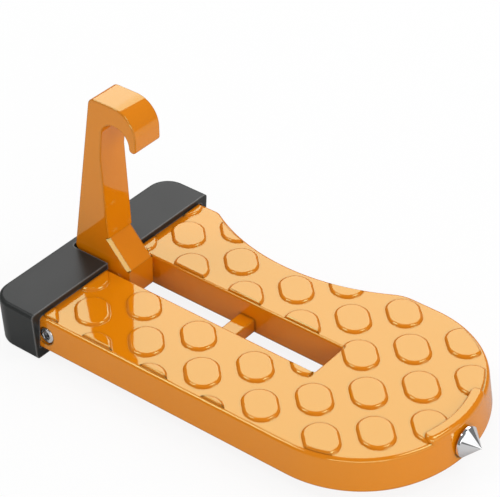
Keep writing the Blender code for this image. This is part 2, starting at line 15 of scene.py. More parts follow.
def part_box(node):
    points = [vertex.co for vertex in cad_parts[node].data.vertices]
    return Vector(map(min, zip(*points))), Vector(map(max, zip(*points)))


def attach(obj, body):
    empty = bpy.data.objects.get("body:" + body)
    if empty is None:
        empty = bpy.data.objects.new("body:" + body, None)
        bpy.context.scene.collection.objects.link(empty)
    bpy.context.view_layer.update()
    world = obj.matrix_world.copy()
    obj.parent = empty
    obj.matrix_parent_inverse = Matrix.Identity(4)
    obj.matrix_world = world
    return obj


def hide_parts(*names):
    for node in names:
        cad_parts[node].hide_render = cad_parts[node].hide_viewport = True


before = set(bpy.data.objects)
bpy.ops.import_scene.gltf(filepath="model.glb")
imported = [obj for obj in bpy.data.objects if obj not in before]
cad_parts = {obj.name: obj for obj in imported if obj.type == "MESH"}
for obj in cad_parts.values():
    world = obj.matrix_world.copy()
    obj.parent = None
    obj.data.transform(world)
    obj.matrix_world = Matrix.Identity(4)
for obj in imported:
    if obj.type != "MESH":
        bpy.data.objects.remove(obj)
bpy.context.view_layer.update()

BUMPER_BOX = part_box("wall_bumper")
HOOK_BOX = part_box("latch_hook")
PLATE_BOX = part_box("step_plate")
TIP_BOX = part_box("hammer_tip")
SCREW_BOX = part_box("pivot_screw")
NUT_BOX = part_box("pivot_nut")

# Gaps of fitted and of moving pieces, the overreach of cutters, and how near counts as touching
FIT = 0.0003
RUNNING = 0.0005
DEEP = 0.0100
TOUCH = 0.000001

# Rubber bumper
BUMPER_HALF = BUMPER_BOX[1][0]
BUMPER_DEPTH = BUMPER_BOX[1][1] - BUMPER_BOX[0][1]
BUMPER_BELOW = PLATE_BOX[0][2] - BUMPER_BOX[0][2]
BUMPER_TOP = BUMPER_BOX[1][2] - PLATE_BOX[0][2]
BUMPER_CORNER = 0.0090
BUMPER_EDGE = 0.0016
BUMPER_DRAFT = 0.0012
FRONT_EDGE = 0.00045
NOTCH_WALL = 0.0034
NOTCH_CORNER = 0.0020

# Pedal plate
ORIGIN = Vector((0.0, BUMPER_BOX[0][1], PLATE_BOX[0][2]))
PLATE_REAR = PLATE_BOX[0][1] - ORIGIN.y
PLATE_THICK = 0.0126
PLATE_HALF = 0.0468
PLATE_DRAFT = 0.0009
PLATE_FILLET = 0.0015
PLATE_CHAMFER = 0.0005
REAR_CORNER = 0.0060
TOE_X = -0.0016
TOE_Y = 0.1313
TOE_RADIUS = 0.0411
TOE_SPREAD = 0.0053
TOE_DROP = 0.0098
TOE_FLARE = 0.0009
SIDE_TAPER = 0.55
WAIST_X = -0.0353
WAIST_AHEAD = 0.0018
WAIST_RADIUS = 0.0800
WAIST_FRONT_BLEND = 0.0160
WAIST_REAR_BLEND = 0.0050

# Slot and web: the two shares end the slot's fillet just short of the plate's top
SLOT_HALF = 0.0084
SLOT_END = 0.1162
SLOT_CORNER = 0.0010
SLOT_FILLET = 0.0009
SLOT_LIP_RUN_SHARE = 0.97
SLOT_LIP_DROP_SHARE = 0.0005
WEB_Y = 0.0736
WEB_LENGTH = 0.0069
WEB_TOP = 0.0058
WEB_LIFT = 0.0005
WEB_EDGE = 0.0006

# Grip studs: a small concave foot, a steep flank and a round shoulder, with a skirt sunk in the plate
STUD_HALF_WIDTH = 0.0066
STUD_STRAIGHT = 0.0021
STUD_HEIGHT = 0.0009
STUD_FLANK = 0.0016
STUD_ANGLE = 45.0
STUD_ORIGIN = Vector((-0.00866, 0.12359))
STUD_ACROSS = Vector((0.01438, 0.00070))
STUD_ALONG = Vector((0.00053, 0.01314))
STUD_ROWS = range(-9, 5)
STUD_COLUMNS = range(-5, 6)
STUD_EDGE = 0.0001
STUD_CUT_ROUND = 0.0008
STUD_OVERHANG = 0.0032
STUD_SLOT_OVERLAP = 0.0036
STUD_FIELD_GAP = 0.00002
FOOT_RADIUS = 0.0004
FLANK_SLOPE = 52.0
SKIRT_RUN = 0.0002
SKIRT_STEP = 0.00015
FOOT_SHARES = (0.25, 0.5, 0.75, 1.0)
SHOULDER_SHARES = (1.0, 0.85, 0.7, 0.55, 0.4, 0.25, 0.12, 0.0)

# Toe ridge
RIDGE_HEIGHT = 0.0020
RIDGE_BREADTH = 0.0050
RIDGE_ROUND = 0.0008
RIDGE_OUTER_ROUND = 0.0021
RIDGE_START = 70.5
RIDGE_END = 110.0
RIDGE_CAP = 0.0024
RIDGE_SET_IN = 0.0001

# Cored pockets of the underside
POCKET_DEPTH = 0.0045
POCKET_LENGTH = 0.0150
POCKET_CORNER = 0.0020
POCKET_DRAFT = 0.0006
POCKET_EDGE = 0.0010
POCKET_RIM = 0.0040
RIB = 0.0030

# Pivot screw and the bore of its nut
SCREW_RADIUS = 0.0020
HEAD_RADIUS = 0.0032
HEAD_HEIGHT = 0.0040
HEAD_FACE = SCREW_BOX[1][0]
SCREW_END = SCREW_BOX[0][0]
SOCKET_RADIUS = 0.0017
SOCKET_DEPTH = 0.0020
SOCKET_LEAD = 0.0002
SOCKET_WIDENING = 1.18
SCREW_CHAMFER = 0.0004
NUT_BORE = 0.0043
PIVOT_Y = 0.0240
PIVOT_Z = 0.0058

# Latch hook: the names with _AHEAD are measured forward from the pivot
HOOK_HALF = HOOK_BOX[1][0]
HOOK_TOP = HOOK_BOX[1][2] - ORIGIN.z
HOOK_BACK_LOW_Z = 0.0170
HOOK_BACK_HIGH = 0.0140
HOOK_BACK_HIGH_Z = 0.0805
NECK_AHEAD = -0.0053
HOOK_NECK_Z = 0.0600
SHIN_AHEAD = -0.0034
HOOK_SHIN_Z = 0.0252
TOE_AHEAD = 0.0063
HOOK_TOE_Z = 0.0145
HOOK_GROUND = 0.0008
HEEL_ROUND = 0.0030
CROWN_ROUND = 0.0030
SOLE_ROUND = 0.0025
LOBE_RADIUS = 0.0098
JAW_RADIUS = 0.0100
THROAT_RADIUS = 0.0064
THROAT_AHEAD = 0.0022
THROAT_Z = 0.0696
HOOK_TIP = 0.0016
HOOK_EDGE = 0.0005
SHIN_CHAMFER = 0.0012

# Hammer tip
TIP_Z = 0.0064
TIP_RADIUS = 0.0057
TIP_SHOULDER = 0.0014
TIP_CONE = 0.0054
TIP_POINT = 0.0004
TIP_EDGE = 0.00025
TIP_STUD_RADIUS = 0.0025
TIP_END = TIP_BOX[0][1] - ORIGIN.y
TIP_SEAT = TIP_END + 0.0090

# Directions, and places that follow from the sizes above
ACROSS = Vector((1.0, 0.0, 0.0))
FORWARD = Vector((0.0, 1.0, 0.0))
PIVOT = Vector((0.0, PIVOT_Y, PIVOT_Z))
TIP_CENTRE = Vector((0.0, 0.0, TIP_Z))
SLOT_START = PIVOT_Y - LOBE_RADIUS - RUNNING
HOOK_BACK_LOW = NOTCH_WALL + 2.0 * FIT
THROAT_Y = PIVOT_Y + THROAT_AHEAD
FRONT_Y = TOE_Y - TOE_DROP
FRONT_RADIUS = TOE_RADIUS + math.hypot(TOE_SPREAD, TOE_DROP)
TOE_FRONT = FRONT_Y + FRONT_RADIUS
WAIST_Y = 0.5 * (PLATE_REAR + REAR_CORNER + TOE_Y) + WAIST_AHEAD
RIDGE_OUTER = FRONT_RADIUS - PLATE_DRAFT - TOE_FLARE - RIDGE_SET_IN

# Smoothness: degrees to a step of an arc, and steps to a full turn
FINE_ARC = 2.0
RIDGE_ARC = 1.0
CORNER_ARC = 7.5
COARSE_ARC = 15.0
TURN_STEPS = 96
BORE_STEPS = 64

# Painted shade in creases and painted reflection lines on raised edges, found by ambient occlusion: how
# far they are felt, and the open share where the painting starts and is full
CREASE_SHADE_REACH = 0.0012
EDGE_REFLECTION_REACH = 0.0007
PAINTED_LIGHT_STARTS = 0.97
PAINTED_LIGHT_FULL = 0.55
PAINTED_LIGHT_SAMPLES = 6
DRIFT_SCALE = 60.0

# Studio: each lamp has a name, azimuth, elevation, distance, width and height, and power
LAMPS = (("back_panel", 303.0, 37.5, 1.3, (1.10, 0.75), 6.5),
         ("left_softbox", 30.0, 58.0, 1.4, (0.55, 0.55), 4.2),
         ("right_softbox", 215.0, 58.0, 1.4, (0.55, 0.55), 4.2),
         ("front_fill", 131.0, 22.0, 1.5, (1.40, 0.55), 6.9),
         ("tip_card", 186.0, 19.5, 1.0, (1.05, 0.48), 1.4))
LAMP_AIM = Vector((0.0, 0.0, 0.02))

# World and floor: how bright they are, how bright gloss sees them, and how much of the floor glows
WORLD_LEVEL = 0.45
WORLD_GLOSS_LEVEL = 0.22
WORLD_CAMERA_LEVEL = 1.0
FLOOR_RADIUS = 3.0
FLOOR_GAP = 0.0002
FLOOR_COLOUR = (0.90, 0.90, 0.90)
FLOOR_CAMERA_GLOW = 0.88
FLOOR_GLOSS_GLOW = 0.5
FLOOR_GLOSS_LEVEL = 0.25

# Camera, fitted to the photograph
CAMERA_PLACE = (0.4246, 0.3251, 0.4464)
CAMERA_AZIMUTH = 128.15
CAMERA_ELEVATION = 36.32
CAMERA_LENS = 139.1
SENSOR_WIDTH = 36.0


def polar(centre, radius, degrees):
    """Return the point at this angle on a circle."""
    angle = math.radians(degrees)
    return Vector((centre[0] + radius * math.cos(angle), centre[1] + radius * math.sin(angle)))


def arc(centre, radius, start, end, step):
    """Return the points of an arc, both ends included."""
    count = max(2, math.ceil(abs(end - start) / step))
    return [polar(centre, radius, start + (end - start) * i / count) for i in range(count + 1)]


def heading(vector):
    """Return a 2D vector's angle in degrees, from 0 to 360."""
    return math.degrees(math.atan2(vector[1], vector[0])) % 360.0


def waist_blend(radius, side_x, side):
    """Return the centre of the arc between waist and side line, ahead of (1) or behind (-1) the waist."""
    across = side_x + radius - (WAIST_X - WAIST_RADIUS)
    rise = math.sqrt((WAIST_RADIUS + radius) ** 2 - across ** 2)
    return Vector((side_x + radius, WAIST_Y + side * rise))


def line_points(start, end, spacing):
    """Return the points inside a straight run, its ends left out."""
    count = max(1, round((end - start).length / spacing))
    return [start.lerp(end, i / count) for i in range(1, count)]


def plate_outline():
    """Return the plate's outline, counter-clockwise: straight side, full round toe and drawn-in waist."""
    right_toe = Vector((TOE_X + TOE_SPREAD, TOE_Y))
    left_toe = Vector((TOE_X - TOE_SPREAD, TOE_Y))
    front = Vector((TOE_X, FRONT_Y))
    waist = Vector((WAIST_X - WAIST_RADIUS, WAIST_Y))
    front_blend = waist_blend(WAIST_FRONT_BLEND, left_toe.x - TOE_RADIUS, 1)
    rear_blend = waist_blend(WAIST_REAR_BLEND, -PLATE_HALF, -1)
    taper = math.radians(SIDE_TAPER)
    corner_y = PLATE_REAR + REAR_CORNER
    side_reach = right_toe.x * math.cos(taper) + right_toe.y * math.sin(taper) + TOE_RADIUS
    right_x = (side_reach - REAR_CORNER - math.sin(taper) * corner_y) / math.cos(taper)
    crown = heading(right_toe - front)
    waist_enter = heading(waist - front_blend)
    waist_leave = heading(waist - rear_blend)
    points = arc((right_x, corner_y), REAR_CORNER, -90.0, SIDE_TAPER, CORNER_ARC)
    toe = arc(right_toe, TOE_RADIUS, SIDE_TAPER, crown, FINE_ARC)
    points += line_points(points[-1], toe[0], spacing=0.006) + toe
    points += arc(front, FRONT_RADIUS, crown, 180.0 - crown, FINE_ARC)[1:]
    points += arc(left_toe, TOE_RADIUS, 180.0 - crown, 180.0, FINE_ARC)[1:]
    points += arc(front_blend, WAIST_FRONT_BLEND, 180.0, waist_enter, FINE_ARC)
    points += arc(waist, WAIST_RADIUS, waist_enter - 180.0, waist_leave - 180.0, FINE_ARC)[1:]
    points += arc(rear_blend, WAIST_REAR_BLEND, waist_leave, 180.0, CORNER_ARC)[1:]
    points += arc((REAR_CORNER - PLATE_HALF, corner_y), REAR_CORNER, 180.0, 270.0, CORNER_ARC)
    return points


def inset(points, distance, flare=0.0):
    """Move a counter-clockwise outline inwards with mitred corners, by up to a flare more at the toe."""
    sharpest = 0.2
    moved = []
    for i, point in enumerate(points):
        before = (point - points[i - 1]).normalized()
        after = (points[(i + 1) % len(points)] - point).normalized()
        bisector = Vector((-before.y - after.y, before.x + after.x)).normalized()
        reach = max(sharpest, bisector.dot(Vector((-before.y, before.x))))
        toe_share = min(max((point.y - TOE_Y) / (TOE_FRONT - TOE_Y), 0.0), 1.0)
        moved.append(point + bisector * (distance + flare * toe_share) / reach)
    return moved


def outside_by(points, place):
    """Return how far a place lies outside a counter-clockwise outline, negative inside."""
    nearest = math.inf
    turns = 0.0
    for i, end in enumerate(points):
        start = points[i - 1]
        share = intersect_point_line(place, start, end)[1]
        foot = start.lerp(end, min(max(share, 0.0), 1.0))
        nearest = min(nearest, (foot - place).length)
        turns += (start - place).angle_signed(end - place)
    return nearest if abs(turns) < math.pi else -nearest


def rounded_box(x_low, x_high, y_low, y_high, radius, step=CORNER_ARC):
    """Return a rectangle with round corners, counter-clockwise."""
    centres = ((x_high - radius, y_low + radius, -90.0), (x_high - radius, y_high - radius, 0.0),
               (x_low + radius, y_high - radius, 90.0), (x_low + radius, y_low + radius, 180.0))
    points = []
    for x, y, start in centres:
        points += arc((x, y), radius, start, start + 90.0, step)
    return points


def at_height(points, z):
    """Lift 2D points to a height."""
    return [Vector((point[0], point[1], z)) for point in points]


def add_loft(bm, rings):
    """Add a closed solid through rings of points, with flat ends."""
    loops = [[bm.verts.new(point) for point in ring] for ring in rings]
    count = len(loops[0])
    for lower, upper in zip(loops, loops[1:]):
        for i in range(count):
            j = (i + 1) % count
            bm.faces.new((lower[i], lower[j], upper[j], upper[i]))
    bm.faces.new(loops[0])
    bm.faces.new(loops[-1])


def cut_flat(bm, y, keep_front):
    """Cut a solid across and cap the cut."""
    cut = bmesh.ops.bisect_plane(bm, geom=bm.verts[:] + bm.edges[:] + bm.faces[:], dist=TOUCH,
                                 plane_co=(0.0, y, 0.0), plane_no=(0.0, 1.0, 0.0),
                                 clear_outer=not keep_front, clear_inner=keep_front)
    rim = [item for item in cut["geom_cut"] if isinstance(item, bmesh.types.BMEdge)]
    bmesh.ops.contextual_create(bm, geom=rim)


def turned(profile, axis, steps):
    """Spin a profile of (along, radius) points about an axis through the origin."""
    bm = bmesh.new()
    verts = [bm.verts.new(axis * along + Vector((0.0, 0.0, radius))) for along, radius in profile]
    edges = [bm.edges.new((first, second)) for first, second in zip(verts, verts[1:])]
    if profile[0][1] > 0.0:
        edges.append(bm.edges.new((verts[-1], verts[0])))
    bmesh.ops.spin(bm, geom=verts + edges, cent=(0.0, 0.0, 0.0), axis=axis, angle=math.tau,
                   steps=steps, use_merge=True, use_duplicate=False)
    bmesh.ops.remove_doubles(bm, verts=bm.verts[:], dist=TOUCH)
    return bm


def new_object(name, bm, shift=Vector((0.0, 0.0, 0.0))):
    """Turn a bmesh in drawing coordinates into an object in the frame's coordinates."""
    bmesh.ops.translate(bm, verts=bm.verts[:], vec=ORIGIN + shift)
    bmesh.ops.recalc_face_normals(bm, faces=bm.faces[:])
    mesh = bpy.data.meshes.new(name)
    bm.to_mesh(mesh)
    bm.free()
    obj = bpy.data.objects.new(name, mesh)
    bpy.context.scene.collection.objects.link(obj)
    return obj


def settle(obj):
    """Apply an object's modifiers to its mesh."""
    depsgraph = bpy.context.evaluated_depsgraph_get()
    mesh = bpy.data.meshes.new_from_object(obj.evaluated_get(depsgraph))
    obj.modifiers.clear()
    obj.data = mesh


def combine(obj, other, operation):
    """Join, cut or clip an object with another one, which is then removed."""
    boolean = obj.modifiers.new(other.name, "BOOLEAN")
    boolean.operation = operation
    boolean.object = other
    settle(obj)
    bpy.data.objects.remove(other, do_unlink=True)


def smooth_normals(obj, degrees):
    """Cut every face into triangles and shade smooth up to an angle, with flat faces kept flat."""
    bm = bmesh.new()
    bm.from_mesh(obj.data)
    bmesh.ops.remove_doubles(bm, verts=bm.verts[:], dist=0.5 * TOUCH)
    bmesh.ops.triangulate(bm, faces=bm.faces[:])
    bm.to_mesh(obj.data)
    bm.free()
    obj.data.shade_smooth()
    obj.data.set_sharp_from_angle(angle=math.radians(degrees))
    weighted = obj.modifiers.new("weighted", "WEIGHTED_NORMAL")
    weighted.keep_sharp = True
    settle(obj)


def finish_piece(obj, material, body, node):
    """Paint a piece, ride it on its body and let it stand for its CAD node."""
    obj.data.materials.clear()
    obj.data.materials.append(material)
    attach(obj, body)
    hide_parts(node)


def fillet_section(radius, steps):
    """Return (run, drop) pairs of a quarter round, from the upright face to the flat top."""
    section = []
    for i in range(steps + 1):
        angle = 0.5 * math.pi * i / steps
        section.append((radius * (1.0 - math.cos(angle)), radius * (1.0 - math.sin(angle))))
    return section


def plate_rings(outline, grow=0.0, steps=6):
    """Return the rings of the drafted, filleted plate, grown all round by a clearance."""
    rings = [at_height(inset(outline, PLATE_CHAMFER - grow), -grow),
             at_height(inset(outline, 0.3 * PLATE_CHAMFER - grow), 0.3 * PLATE_CHAMFER - grow),
             at_height(inset(outline, -grow), PLATE_CHAMFER - grow)]
    for run, drop in fillet_section(PLATE_FILLET, steps):
        ring = inset(outline, PLATE_DRAFT + run - grow, TOE_FLARE)
        rings.append(at_height(ring, PLATE_THICK + grow - drop))
    return rings


def obround(narrowing):
    """Return a stud's outline about its own centre, narrowed by a distance."""
    radius = STUD_HALF_WIDTH - narrowing
    lean = math.radians(STUD_ANGLE)
    shift = Vector((math.cos(lean), math.sin(lean))) * STUD_STRAIGHT
    points = arc(shift, radius, STUD_ANGLE - 90.0, STUD_ANGLE + 90.0, CORNER_ARC)
    points += arc(-shift, radius, STUD_ANGLE + 90.0, STUD_ANGLE + 270.0, CORNER_ARC)
    return points


def stud_centres(outline):
    """Return the lattice points whose studs show on the plate, whole or cut."""
    centres = []
    reach = STUD_HALF_WIDTH + STUD_STRAIGHT - STUD_FLANK
    for row in STUD_ROWS:
        for column in STUD_COLUMNS:
            if (row + column) % 2:
                continue
            place = STUD_ORIGIN + STUD_ACROSS * column + STUD_ALONG * row
            beyond_slot = max(abs(place.x) - SLOT_HALF, place.y - SLOT_END)
            if outside_by(outline, place) < STUD_OVERHANG and beyond_slot > -STUD_SLOT_OVERLAP:
                if place.y > BUMPER_DEPTH + FIT - reach:
                    centres.append(place)
    return centres


def stud_section():
    """Return (run, rise) pairs up a stud's side: concave foot, steep flank and round shoulder."""
    slope = math.radians(FLANK_SLOPE)
    foot_run, foot_rise = FOOT_RADIUS * math.sin(slope), FOOT_RADIUS * (1.0 - math.cos(slope))
    left_run, left_rise = STUD_FLANK - foot_run, STUD_HEIGHT - foot_rise
    # The shoulder's radius lets the straight flank run smoothly into both arcs.
    shoulder = ((left_run * math.tan(slope) - left_rise)
                / (math.sin(slope) * math.tan(slope) - (1.0 - math.cos(slope))))
    section = []
    for share in FOOT_SHARES:
        angle = slope * share
        section.append((FOOT_RADIUS * math.sin(angle), FOOT_RADIUS * (1.0 - math.cos(angle))))
    for share in SHOULDER_SHARES:
        angle = slope * share
        section.append((STUD_FLANK - shoulder * math.sin(angle),
                        STUD_HEIGHT - shoulder * (1.0 - math.cos(angle))))
    foot_start, foot_height = section[0]
    skirt = [(foot_start - SKIRT_RUN, -0.5 * STUD_HEIGHT), (foot_start - SKIRT_STEP, -0.3 * foot_height)]
    return skirt + section


def stud_pattern(outline):
    """Build every stud, clipped to the flat top in front of the bumper."""
    studs = bmesh.new()
    section = stud_section()
    for centre in stud_centres(outline):
        # A stud over the slot's front end is trimmed flush with that end.
        over_slot = abs(centre.x) < SLOT_HALF and centre.y < SLOT_END
        front = SLOT_END + STUD_EDGE if over_slot else TOE_FRONT
        rings = []
        for run, rise in section:
            ring = [centre + point for point in obround(run)]
            ring = [Vector((point.x, min(point.y, front))) for point in ring]
            rings.append(at_height(ring, PLATE_THICK + rise))
        add_loft(studs, rings)
    pattern = new_object("stud_pattern", studs)
    field = bmesh.new()
    edge_run = PLATE_DRAFT + PLATE_FILLET + STUD_EDGE
    rings = [at_height(inset(outline, edge_run, TOE_FLARE), PLATE_THICK - STUD_HEIGHT)]
    for run, drop in fillet_section(STUD_CUT_ROUND, steps=5):
        ring = inset(outline, edge_run + run, TOE_FLARE)
        rings.append(at_height(ring, PLATE_THICK + STUD_HEIGHT + STUD_FIELD_GAP - drop))
    add_loft(field, rings)
    cut_flat(field, BUMPER_DEPTH + FIT, keep_front=True)
    combine(pattern, new_object("stud_field", field), "INTERSECT")
    return pattern


def ridge_outline():
    """Return the toe ridge's plan, counter-clockwise: a band of the front arc with round ends."""
    cap = math.degrees(RIDGE_CAP / RIDGE_OUTER)
    half = 0.5 * RIDGE_BREADTH
    middle = RIDGE_OUTER - half
    centre = (TOE_X, FRONT_Y)
    low, high = RIDGE_START + cap, RIDGE_END - cap
    points = arc(centre, RIDGE_OUTER, low, high, RIDGE_ARC)
    turns = [math.radians(COARSE_ARC * i) for i in range(1, round(180.0 / COARSE_ARC))]
    points += [polar(centre, middle + half * math.cos(turn), high + cap * math.sin(turn))
               for turn in turns]
    points += arc(centre, RIDGE_OUTER - RIDGE_BREADTH, high, low, RIDGE_ARC)
    points += [polar(centre, middle - half * math.cos(turn), low - cap * math.sin(turn))
               for turn in turns]
    return points


def toe_ridge():
    """Build the toe ridge, rounded a little inside and broadly outside."""
    bm = bmesh.new()
    outline = ridge_outline()
    rings = [at_height(outline, PLATE_THICK - 2.0 * PLATE_FILLET)]
    centre = Vector((TOE_X, FRONT_Y))
    shares = [min(max(((point - centre).length - RIDGE_OUTER) / RIDGE_BREADTH + 1.0, 0.0), 1.0)
              for point in outline]
    for run, drop in fillet_section(1.0, steps=7):
        inner = inset(outline, run * RIDGE_ROUND)
        outer = inset(outline, run * RIDGE_OUTER_ROUND)
        ring = []
        for inside, outside, share in zip(inner, outer, shares):
            rounding = RIDGE_ROUND + (RIDGE_OUTER_ROUND - RIDGE_ROUND) * share
            height = PLATE_THICK + RIDGE_HEIGHT - drop * rounding
            ring.append(Vector((*inside.lerp(outside, share), height)))
        rings.append(ring)
    add_loft(bm, rings)
    return new_object("toe_ridge", bm)


def slot_cut():
    """Build the slot's cutter, which rounds the plate's edge and the shoulders of the studs it cuts."""
    bm = bmesh.new()
    wall = rounded_box(-SLOT_HALF, SLOT_HALF, SLOT_START, SLOT_END, SLOT_CORNER, COARSE_ARC)
    rings = [at_height(wall, -DEEP)]
    for run, drop in fillet_section(SLOT_FILLET, steps=5)[:-1]:
        rings.append(at_height(inset(wall, -run), PLATE_THICK - drop))
    lip_run = SLOT_LIP_RUN_SHARE * SLOT_FILLET
    rings.append(at_height(inset(wall, -lip_run), PLATE_THICK - SLOT_LIP_DROP_SHARE * SLOT_FILLET))
    for run, drop in fillet_section(STUD_CUT_ROUND, steps=5)[:-1]:
        widest = inset(wall, -lip_run - run)
        rings.append(at_height(widest, PLATE_THICK + STUD_HEIGHT - drop))
    rings.append(at_height(widest, PLATE_THICK + DEEP))
    add_loft(bm, rings)
    return new_object("slot_cut", bm)


def slot_web():
    """Build the low cross web that carries the folded hook."""
    bm = bmesh.new()
    low, high = WEB_Y - 0.5 * WEB_LENGTH, WEB_Y + 0.5 * WEB_LENGTH
    section = [(low, WEB_LIFT), (high, WEB_LIFT)]
    quarter = fillet_section(WEB_EDGE, steps=4)
    section += [(high - run, WEB_TOP - drop) for run, drop in quarter]
    section += [(low + run, WEB_TOP - drop) for run, drop in reversed(quarter)]
    reach = SLOT_HALF + RUNNING
    add_loft(bm, [[Vector((x, y, z)) for y, z in section] for x in (-reach, reach)])
    return new_object("slot_web", bm)


def pocket_pattern(outline):
    """Build the cutters of the underside's cored pockets, clipped to leave an even rim."""
    bm = bmesh.new()
    wall = SLOT_HALF + POCKET_RIM
    wide = 0.5 * (PLATE_HALF - POCKET_RIM - wall - RIB)
    columns = [(wall, wall + wide), (wall + wide + RIB, PLATE_HALF)]
    columns += [(-high, -low) for low, high in columns]
    pitch = POCKET_LENGTH + RIB
    first = PIVOT_Y + SCREW_RADIUS + POCKET_RIM
    rows = int((TOE_FRONT - POCKET_RIM - POCKET_LENGTH - first) / pitch) + 1
    for row in range(rows):
        low = first + row * pitch
        spans = list(columns)
        if low > SLOT_END + POCKET_RIM and low + POCKET_LENGTH < TIP_END:
            spans.append((RIB - wall, wall - RIB))
        for left, right in spans:
            middle = Vector((0.5 * (left + right), low + 0.5 * POCKET_LENGTH))
            if outside_by(outline, middle) > -POCKET_RIM - 0.5 * RIB:
                continue
            shape = rounded_box(left, right, low, low + POCKET_LENGTH, POCKET_CORNER, COARSE_ARC)
            rings = [at_height(inset(shape, -POCKET_DRAFT), -POCKET_DEPTH)]
            for run, drop in fillet_section(POCKET_EDGE, steps=4):
                ring = inset(shape, POCKET_DRAFT + run - POCKET_EDGE)
                rings.append(at_height(ring, POCKET_DEPTH - drop))
            add_loft(bm, rings)
    pockets = new_object("pocket_pattern", bm)
    field = bmesh.new()
    rim = inset(outline, POCKET_RIM)
    add_loft(field, [at_height(rim, -DEEP), at_height(rim, DEEP)])
    combine(pockets, new_object("pocket_field", field), "INTERSECT")
    return pockets


def bore_along(axis, profile, centre, name):
    """Build a turned cutter."""
    return new_object(name, turned(profile, axis, BORE_STEPS), centre)


def build_plate(enamel):
    """Cast the pedal plate with its studs, ridge, slot, web, pockets and bores."""
    outline = plate_outline()
    bm = bmesh.new()
    add_loft(bm, plate_rings(outline))
    plate = new_object("pedal_casting", bm)
    combine(plate, stud_pattern(outline), "UNION")
    combine(plate, toe_ridge(), "UNION")
    combine(plate, slot_cut(), "DIFFERENCE")
    combine(plate, slot_web(), "UNION")
    combine(plate, pocket_pattern(outline), "DIFFERENCE")
    nut_outer = NUT_BOX[0][0] - DEEP
    nut_seat = NUT_BOX[1][0] + FIT
    head_bore = HEAD_RADIUS + FIT
    head_seat = HEAD_FACE - HEAD_HEIGHT - FIT
    shank_bore = SCREW_RADIUS + FIT
    bore = [(nut_outer, 0.0), (nut_outer, NUT_BORE), (nut_seat, NUT_BORE), (nut_seat, shank_bore),
            (head_seat, shank_bore), (head_seat, head_bore), (HEAD_FACE + DEEP, head_bore),
            (HEAD_FACE + DEEP, 0.0)]
    combine(plate, bore_along(ACROSS, bore, PIVOT, "pivot_bore"), "DIFFERENCE")
    stud_end = TIP_END - RUNNING
    stud_bore = TIP_STUD_RADIUS + FIT
    seat = TIP_SEAT - FIT
    bore = [(stud_end, 0.0), (stud_end, stud_bore), (seat, stud_bore), (seat, TIP_RADIUS + FIT),
            (seat + DEEP, TIP_RADIUS + FIT), (seat + DEEP, 0.0)]
    combine(plate, bore_along(FORWARD, bore, TIP_CENTRE, "tip_bore"), "DIFFERENCE")
    smooth_normals(plate, degrees=28.0)
    finish_piece(plate, enamel, "step", "step_plate")


def hook_profile():
    """Return the hook's side view as (y, z) points.

    It runs from the lobe over heel, back, crown, jaw, throat and stem to the foot.
    """
    sole = PLATE_THICK + FIT
    lean = (HOOK_BACK_HIGH - HOOK_BACK_LOW) / (HOOK_BACK_HIGH_Z - HOOK_BACK_LOW_Z)
    tilt = math.degrees(math.atan(lean))

    def on_back(radius, z):
        """Return the centre at height z of an arc that touches the back line."""
        return (HOOK_BACK_LOW + lean * (z - HOOK_BACK_LOW_Z) + radius / math.cos(math.radians(tilt)), z)

    lobe_low = math.degrees(math.asin((PIVOT_Z - HOOK_GROUND) / LOBE_RADIUS))
    lobe_high = math.degrees(math.asin((sole - PIVOT_Z) / LOBE_RADIUS))
    heel = on_back(HEEL_ROUND, sole + HEEL_ROUND)
    crown = on_back(CROWN_ROUND, HOOK_TOP - CROWN_ROUND)
    jaw = (THROAT_Y + THROAT_RADIUS + 2.0 * HOOK_TIP - JAW_RADIUS, HOOK_TOP - JAW_RADIUS)
    tip = (THROAT_Y + THROAT_RADIUS + HOOK_TIP, THROAT_Z)
    ground = (PIVOT_Y + TOE_AHEAD - SOLE_ROUND, HOOK_GROUND + SOLE_ROUND)
    points = arc((PIVOT_Y, PIVOT_Z), LOBE_RADIUS, 180.0 + lobe_low, 180.0 - lobe_high, step=6.0)
    points += arc(heel, HEEL_ROUND, 270.0, 180.0 - tilt, step=10.0)
    points += arc(crown, CROWN_ROUND, 180.0 - tilt, 90.0, step=10.0)
    points += arc(jaw, JAW_RADIUS, 90.0, 0.0, step=3.0)
    points += arc(tip, HOOK_TIP, 0.0, -180.0, step=15.0)
    points += arc((THROAT_Y, THROAT_Z), THROAT_RADIUS, 0.0, 180.0, step=4.0)[1:]
    points += [Vector((PIVOT_Y + NECK_AHEAD, HOOK_NECK_Z)), Vector((PIVOT_Y + SHIN_AHEAD, HOOK_SHIN_Z)),
               Vector((PIVOT_Y + TOE_AHEAD, HOOK_TOE_Z))]
    points += arc(ground, SOLE_ROUND, 0.0, -90.0, step=10.0)
    return points


def shin_chamfers():
    """Build the cutters of the broad chamfers beside the shin, mitred at both ends."""
    neck = Vector((0.0, PIVOT_Y + NECK_AHEAD, HOOK_NECK_Z))
    shin = Vector((0.0, PIVOT_Y + SHIN_AHEAD, HOOK_SHIN_Z))
    toe = Vector((0.0, PIVOT_Y + TOE_AHEAD, HOOK_TOE_Z))
    ground = Vector((0.0, toe.y, HOOK_GROUND))
    outward = [Vector((0.0, start.z - end.z, end.y - start.y)).normalized()
               for start, end in ((neck, shin), (shin, toe), (toe, ground))]
    bm = bmesh.new()
    for side in (-1.0, 1.0):
        across = side * ACROSS
        rings = []
        for corner, mitre in ((shin, outward[0] + outward[1]), (toe, outward[1] + outward[2])):
            depth = mitre * SHIN_CHAMFER / mitre.dot(outward[1])
            edge = corner + across * HOOK_HALF
            rings.append([edge - across * SHIN_CHAMFER, edge - depth,
                          edge + across * SHIN_CHAMFER + depth])
        add_loft(bm, rings)
    return new_object("shin_chamfers", bm)


